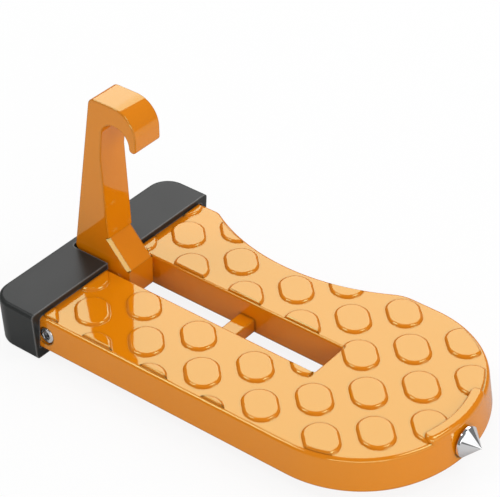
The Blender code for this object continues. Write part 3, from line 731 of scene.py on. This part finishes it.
def build_hook(enamel):
    """Forge the hook: one profile across, softened edges and broad chamfers beside the shin."""
    bm = bmesh.new()
    profile = hook_profile()
    add_loft(bm, [[Vector((x, y, z)) for y, z in profile] for x in (-HOOK_HALF, HOOK_HALF)])
    weight = bm.edges.layers.float.new("bevel_weight_edge")
    # Only the edges round the two flat sides are softened, not those that run across.
    for edge in bm.edges:
        first, second = (vert.co for vert in edge.verts)
        if abs(first.x - second.x) < FIT:
            edge[weight] = 1.0
    hook = new_object("hook_forging", bm)
    bevel = hook.modifiers.new("softened_edges", "BEVEL")
    bevel.limit_method = "WEIGHT"
    bevel.width = HOOK_EDGE
    bevel.segments = 3
    bevel.use_clamp_overlap = False
    settle(hook)
    combine(hook, shin_chamfers(), "DIFFERENCE")
    reach = 2.0 * HOOK_HALF
    shank_bore = SCREW_RADIUS + FIT
    bore = [(-reach, 0.0), (-reach, shank_bore), (reach, shank_bore), (reach, 0.0)]
    combine(hook, bore_along(ACROSS, bore, PIVOT, "hook_bore"), "DIFFERENCE")
    smooth_normals(hook, degrees=32.0)
    finish_piece(hook, enamel, "hook", "latch_hook")


def build_bumper(rubber):
    """Mould the rubber cap that wraps the plate's rear, notched for the hook."""
    bm = bmesh.new()
    uncut_depth = BUMPER_DEPTH + 2.0 * BUMPER_CORNER
    outline = rounded_box(-BUMPER_HALF, BUMPER_HALF, 0.0, uncut_depth, BUMPER_CORNER, step=5.0)
    section = fillet_section(BUMPER_EDGE, steps=6)
    narrowing = 1.0 - BUMPER_DRAFT / BUMPER_HALF
    low = [Vector((point.x * narrowing, point.y)) for point in outline]
    rings = [at_height(inset(low, run), drop - BUMPER_BELOW) for run, drop in reversed(section)]
    rings += [at_height(inset(outline, run), BUMPER_TOP - drop) for run, drop in section]
    add_loft(bm, rings)
    cut_flat(bm, BUMPER_DEPTH, keep_front=False)
    bumper = new_object("bumper_moulding", bm)
    hollow = bmesh.new()
    add_loft(hollow, plate_rings(plate_outline(), grow=FIT, steps=4))
    combine(bumper, new_object("bumper_hollow", hollow), "DIFFERENCE")
    notch = bmesh.new()
    shape = rounded_box(-SLOT_HALF, SLOT_HALF, NOTCH_WALL, BUMPER_DEPTH + DEEP, NOTCH_CORNER)
    add_loft(notch, [at_height(shape, -DEEP), at_height(shape, BUMPER_TOP + DEEP)])
    combine(bumper, new_object("bumper_notch", notch), "DIFFERENCE")
    edges = bumper.modifiers.new("soft_front", "BEVEL")
    edges.limit_method = "ANGLE"
    edges.angle_limit = math.radians(50.0)
    edges.width = FRONT_EDGE
    edges.segments = 3
    settle(bumper)
    smooth_normals(bumper, degrees=35.0)
    finish_piece(bumper, rubber, "step", "wall_bumper")


def build_screw(steel):
    """Turn the pivot screw: a smooth cap head with a hexagon socket, and a plain shank."""
    seat = HEAD_FACE - HEAD_HEIGHT
    # Two points inside the corner round off the head's chamfer.
    near, far = 0.12 * SCREW_CHAMFER, 0.6 * SCREW_CHAMFER
    profile = [(HEAD_FACE, 0.0), (HEAD_FACE, HEAD_RADIUS - SCREW_CHAMFER)]
    profile += [(HEAD_FACE - near, HEAD_RADIUS - far), (HEAD_FACE - far, HEAD_RADIUS - near)]
    profile += [(HEAD_FACE - SCREW_CHAMFER, HEAD_RADIUS), (seat, HEAD_RADIUS), (seat, SCREW_RADIUS)]
    profile += [(SCREW_END + SCREW_CHAMFER, SCREW_RADIUS), (SCREW_END, SCREW_RADIUS - SCREW_CHAMFER)]
    profile.append((SCREW_END, 0.0))
    screw = new_object("screw_turning", turned(profile, ACROSS, TURN_STEPS), PIVOT)
    socket = bmesh.new()
    hexagon = [polar((0.0, 0.0), SOCKET_RADIUS, 60.0 * i) for i in range(6)]
    wider = [polar((0.0, 0.0), SOCKET_RADIUS * SOCKET_WIDENING, 60.0 * i) for i in range(6)]
    rings = [(HEAD_FACE - SOCKET_DEPTH, hexagon), (HEAD_FACE - SOCKET_LEAD, hexagon),
             (HEAD_FACE + 0.5 * SOCKET_LEAD, wider), (HEAD_FACE + SOCKET_DEPTH, wider)]
    add_loft(socket, [[Vector((x, point.x, point.y)) for point in shape] for x, shape in rings])
    combine(screw, new_object("screw_socket", socket, PIVOT), "DIFFERENCE")
    smooth_normals(screw, degrees=30.0)
    finish_piece(screw, steel, "step", "pivot_screw")


def build_tip(chrome):
    """Turn the hammer tip: a plain stud, a short shoulder and a sharp cone."""
    shoulder = TIP_SEAT + TIP_SHOULDER
    end = shoulder + TIP_CONE
    profile = [(TIP_END, 0.0), (TIP_END, TIP_STUD_RADIUS - TIP_EDGE),
               (TIP_END + TIP_EDGE, TIP_STUD_RADIUS), (TIP_SEAT, TIP_STUD_RADIUS),
               (TIP_SEAT, TIP_RADIUS - TIP_EDGE), (TIP_SEAT + TIP_EDGE, TIP_RADIUS),
               (shoulder - TIP_EDGE, TIP_RADIUS), (shoulder, TIP_RADIUS - 0.3 * TIP_EDGE)]
    # The cone's point is a very small round.
    for back, radius in ((1.0, 1.0), (0.4, 0.8), (0.1, 0.4), (0.0, 0.0)):
        profile.append((end - back * TIP_POINT, radius * TIP_POINT))
    tip = new_object("tip_turning", turned(profile, FORWARD, TURN_STEPS), TIP_CENTRE)
    smooth_normals(tip, degrees=30.0)
    finish_piece(tip, chrome, "step", "hammer_tip")


def group_sockets(tree, inputs, outputs):
    """Give a node group its sockets and return its two end nodes."""
    for name, kind, value in inputs:
        socket = tree.interface.new_socket(name, in_out="INPUT", socket_type=kind)
        socket.default_value = value
    for name, kind in outputs:
        tree.interface.new_socket(name, in_out="OUTPUT", socket_type=kind)
    return tree.nodes.new("NodeGroupInput"), tree.nodes.new("NodeGroupOutput")


def feed(tree, socket, value):
    """Link a node's output to a socket, or give the socket a plain number."""
    if isinstance(value, bpy.types.NodeSocket):
        tree.links.new(value, socket)
    else:
        socket.default_value = value


def math_node(tree, operation, *values):
    """Add a maths node fed by outputs or plain numbers, and return its output."""
    node = tree.nodes.new("ShaderNodeMath")
    node.operation = operation
    for socket, value in zip(node.inputs, values):
        feed(tree, socket, value)
    return node.outputs[0]


def number_mix(tree, factor, low, high):
    """Add a node that goes from one number to another by a factor, and return its output."""
    mix = tree.nodes.new("ShaderNodeMix")
    mix.data_type = "FLOAT"
    feed(tree, mix.inputs["Factor"], factor)
    feed(tree, mix.inputs["A"], low)
    feed(tree, mix.inputs["B"], high)
    return mix.outputs["Result"]


def painted_crease_shade_and_edge_reflection_group():
    """Build the group that paints shade into creases and a reflection line onto raised edges."""
    tree = bpy.data.node_groups.new("edge_tone", "ShaderNodeTree")
    inside, outside = group_sockets(
        tree,
        [("Colour", "NodeSocketColor", (0.8, 0.8, 0.8, 1.0)),
         ("Crease Shade", "NodeSocketColor", (0.1, 0.1, 0.1, 1.0)),
         ("Edge Reflection", "NodeSocketColor", (1.0, 1.0, 1.0, 1.0)),
         ("Crease Shade Amount", "NodeSocketFloat", 0.5),
         ("Edge Reflection Amount", "NodeSocketFloat", 0.3)],
        [("Colour", "NodeSocketColor")])
    links = tree.links
    # Outside occlusion marks creases for painted shade, and inside occlusion marks raised edges for a
    # painted reflection line.
    painted_light_masks = []
    kinds = (("Crease Shade Amount", False, CREASE_SHADE_REACH), ("Edge Reflection Amount", True, EDGE_REFLECTION_REACH))
    for name, is_inside, reach in kinds:
        near = tree.nodes.new("ShaderNodeAmbientOcclusion")
        near.inside = is_inside
        near.only_local = True
        near.samples = PAINTED_LIGHT_SAMPLES
        near.inputs["Distance"].default_value = reach
        ramp = tree.nodes.new("ShaderNodeMapRange")
        ramp.inputs["From Min"].default_value = PAINTED_LIGHT_STARTS
        ramp.inputs["From Max"].default_value = PAINTED_LIGHT_FULL
        links.new(near.outputs["AO"], ramp.inputs["Value"])
        painted_light_masks.append(math_node(tree, "MULTIPLY", ramp.outputs["Result"], inside.outputs[name]))
    colour = inside.outputs["Colour"]
    for mask, name in zip(painted_light_masks, ("Crease Shade", "Edge Reflection")):
        mix = tree.nodes.new("ShaderNodeMix")
        mix.data_type = "RGBA"
        links.new(mask, mix.inputs["Factor"])
        links.new(colour, mix.inputs["A"])
        links.new(inside.outputs[name], mix.inputs["B"])
        colour = mix.outputs["Result"]
    links.new(colour, outside.inputs["Colour"])


def grain_group():
    """Build the group that gives a fine surface relief and a slow drift of roughness."""
    tree = bpy.data.node_groups.new("surface_grain", "ShaderNodeTree")
    inside, outside = group_sockets(
        tree,
        [("Scale", "NodeSocketFloat", 900.0), ("Roughness", "NodeSocketFloat", 0.3),
         ("Drift", "NodeSocketFloat", 0.1)],
        [("Height", "NodeSocketFloat"), ("Roughness", "NodeSocketFloat")])
    place = tree.nodes.new("ShaderNodeTexCoord")
    fine = tree.nodes.new("ShaderNodeTexNoise")
    fine.inputs["Detail"].default_value = 3.0
    slow = tree.nodes.new("ShaderNodeTexNoise")
    slow.inputs["Scale"].default_value = DRIFT_SCALE
    slow.inputs["Detail"].default_value = 2.0
    links = tree.links
    links.new(place.outputs["Object"], fine.inputs["Vector"])
    links.new(place.outputs["Object"], slow.inputs["Vector"])
    links.new(inside.outputs["Scale"], fine.inputs["Scale"])
    links.new(fine.outputs["Fac"], outside.inputs["Height"])
    centred = math_node(tree, "SUBTRACT", slow.outputs["Fac"], 0.5)
    spread = math_node(tree, "MULTIPLY_ADD", centred, inside.outputs["Drift"],
                       inside.outputs["Roughness"])
    links.new(spread, outside.inputs["Roughness"])


def finish_material(name, colour, crease_shade, edge, amounts, roughness, drift, scale, depth, constants):
    """Build a material from the shared groups, with its constants on the shader's own sockets.

    The two amounts are how strongly creases take their painted shade and raised edges their painted
    reflection line. The scale and depth are those of the fine relief, and the drift is how far the
    roughness wanders.
    """
    material = bpy.data.materials.new(name)
    material.use_nodes = True
    tree = material.node_tree
    shader = tree.nodes["Principled BSDF"]
    tone = tree.nodes.new("ShaderNodeGroup")
    tone.node_tree = bpy.data.node_groups["edge_tone"]
    tone.inputs["Colour"].default_value = (*colour, 1.0)
    # The colour given for creases is painted shade, and the colour given for edges is a painted
    # reflection line along raised edges.
    tone.inputs["Crease Shade"].default_value = (*crease_shade, 1.0)
    tone.inputs["Edge Reflection"].default_value = (*edge, 1.0)
    tone.inputs["Crease Shade Amount"].default_value = amounts[0]
    tone.inputs["Edge Reflection Amount"].default_value = amounts[1]
    grain = tree.nodes.new("ShaderNodeGroup")
    grain.node_tree = bpy.data.node_groups["surface_grain"]
    grain.inputs["Scale"].default_value = scale
    grain.inputs["Roughness"].default_value = roughness
    grain.inputs["Drift"].default_value = drift
    bump = tree.nodes.new("ShaderNodeBump")
    bump.inputs["Strength"].default_value = 1.0
    bump.inputs["Distance"].default_value = depth
    links = tree.links
    links.new(tone.outputs["Colour"], shader.inputs["Base Color"])
    links.new(grain.outputs["Roughness"], shader.inputs["Roughness"])
    links.new(grain.outputs["Height"], bump.inputs["Height"])
    links.new(bump.outputs["Normal"], shader.inputs["Normal"])
    for socket, value in constants.items():
        shader.inputs[socket].default_value = value
    return material


def studio_surface(name, colour, camera_glow, gloss_glow, gloss_level):
    """Build a floor that looks white to the camera and grey to gloss, and keeps part of its shadow."""
    material = bpy.data.materials.new(name)
    material.use_nodes = True
    tree = material.node_tree
    tree.nodes.clear()
    out = tree.nodes.new("ShaderNodeOutputMaterial")
    diffuse = tree.nodes.new("ShaderNodeBsdfDiffuse")
    diffuse.inputs["Color"].default_value = (*colour, 1.0)
    glow = tree.nodes.new("ShaderNodeEmission")
    glow.inputs["Color"].default_value = (1.0, 1.0, 1.0, 1.0)
    path = tree.nodes.new("ShaderNodeLightPath")
    links = tree.links
    camera_share = math_node(tree, "MULTIPLY", path.outputs["Is Camera Ray"], camera_glow)
    gloss_share = math_node(tree, "MULTIPLY", path.outputs["Is Glossy Ray"], gloss_glow)
    links.new(number_mix(tree, path.outputs["Is Camera Ray"], gloss_level, 1.0), glow.inputs["Strength"])
    mix = tree.nodes.new("ShaderNodeMixShader")
    links.new(math_node(tree, "MAXIMUM", camera_share, gloss_share), mix.inputs["Fac"])
    links.new(diffuse.outputs[0], mix.inputs[1])
    links.new(glow.outputs[0], mix.inputs[2])
    links.new(mix.outputs[0], out.inputs["Surface"])
    return material


def build_stage():
    """Lay the floor and set the white world."""
    bm = bmesh.new()
    bmesh.ops.create_circle(bm, cap_ends=True, segments=96, radius=FLOOR_RADIUS)
    mesh = bpy.data.meshes.new("studio_floor")
    bm.to_mesh(mesh)
    bm.free()
    floor = bpy.data.objects.new("studio_floor", mesh)
    bpy.context.scene.collection.objects.link(floor)
    floor.location.z = BUMPER_BOX[0][2] - FLOOR_GAP
    floor.data.materials.append(studio_surface("studio_white", FLOOR_COLOUR, FLOOR_CAMERA_GLOW,
                                               FLOOR_GLOSS_GLOW, FLOOR_GLOSS_LEVEL))

    world = bpy.data.worlds.new("studio_world")
    bpy.context.scene.world = world
    world.use_nodes = True
    tree = world.node_tree
    tree.nodes.clear()
    out = tree.nodes.new("ShaderNodeOutputWorld")
    sky = tree.nodes.new("ShaderNodeBackground")
    path = tree.nodes.new("ShaderNodeLightPath")
    unseen = number_mix(tree, path.outputs["Is Glossy Ray"], WORLD_LEVEL, WORLD_GLOSS_LEVEL)
    strength = number_mix(tree, path.outputs["Is Camera Ray"], unseen, WORLD_CAMERA_LEVEL)
    tree.links.new(strength, sky.inputs["Strength"])
    tree.links.new(sky.outputs[0], out.inputs["Surface"])


def towards(azimuth, elevation):
    """Return the unit vector from the step to an azimuth, counted from -Y, and an elevation."""
    turn = math.radians(azimuth)
    rise = math.radians(elevation)
    return Vector((math.sin(turn) * math.cos(rise), -math.cos(turn) * math.cos(rise), math.sin(rise)))


def add_lamp(name, azimuth, elevation, distance, size, power):
    """Hang an area lamp round the step, aimed at its middle."""
    lamp = bpy.data.lights.new(name, "AREA")
    lamp.shape = "RECTANGLE"
    lamp.size, lamp.size_y = size
    lamp.energy = power
    obj = bpy.data.objects.new(name, lamp)
    bpy.context.scene.collection.objects.link(obj)
    back = towards(azimuth, elevation)
    obj.location = LAMP_AIM + back * distance
    obj.rotation_euler = (-back).to_track_quat("-Z", "Y").to_euler()


def add_camera():
    """Stand the camera where the photograph was taken from."""
    data = bpy.data.cameras.new("photo_camera")
    data.sensor_width = SENSOR_WIDTH
    data.lens = CAMERA_LENS
    data.clip_start = 0.01
    data.clip_end = 20.0
    camera = bpy.data.objects.new("photo_camera", data)
    bpy.context.scene.collection.objects.link(camera)
    camera.location = CAMERA_PLACE
    back = towards(CAMERA_AZIMUTH, CAMERA_ELEVATION)
    camera.rotation_euler = (-back).to_track_quat("-Z", "Y").to_euler()
    bpy.context.scene.camera = camera


def main():
    """Finish, build and light the step."""
    bpy.context.scene.view_settings.view_transform = "Standard"
    painted_crease_shade_and_edge_reflection_group()
    grain_group()
    # In each material below the colour for creases is painted shade and the colour for edges a painted
    # reflection line: dark brown on the enamel, light on the rubber and chrome, and close to the metal's
    # own colour on the steel.
    enamel = finish_material(
        "orange_enamel", colour=(0.80, 0.228, 0.002), crease_shade=(0.30, 0.085, 0.003),
        edge=(0.20, 0.075, 0.006), amounts=(0.8, 0.95), roughness=0.05, drift=0.02,
        scale=1400.0, depth=0.000002,
        constants={"Metallic": 0.0, "IOR": 1.95, "Specular Tint": (0.53, 1.0, 0.52, 1.0)})
    rubber = finish_material(
        "black_rubber", colour=(0.021, 0.0225, 0.022), crease_shade=(0.004, 0.004, 0.004),
        edge=(0.22, 0.23, 0.23), amounts=(0.8, 0.6), roughness=0.32, drift=0.08,
        scale=2600.0, depth=0.000008, constants={"Metallic": 0.0, "IOR": 1.32})
    steel = finish_material(
        "zinc_steel", colour=(0.90, 0.91, 0.93), crease_shade=(0.10, 0.10, 0.10),
        edge=(0.9, 0.9, 0.9), amounts=(0.8, 0.3), roughness=0.22, drift=0.10,
        scale=3000.0, depth=0.000003, constants={"Metallic": 1.0})
    chrome = finish_material(
        "chrome", colour=(0.93, 0.93, 0.94), crease_shade=(0.3, 0.3, 0.3),
        edge=(0.95, 0.95, 0.95), amounts=(0.4, 0.2), roughness=0.05, drift=0.02,
        scale=2000.0, depth=0.000001, constants={"Metallic": 1.0})
    build_plate(enamel)
    build_hook(enamel)
    build_bumper(rubber)
    build_screw(steel)
    build_tip(chrome)
    for node in ("pivot_nut", "washer_right", "washer_left"):
        for slot in bpy.data.objects[node].material_slots:
            slot.material = steel
    build_stage()
    for lamp in LAMPS:
        add_lamp(*lamp)
    add_camera()


main()
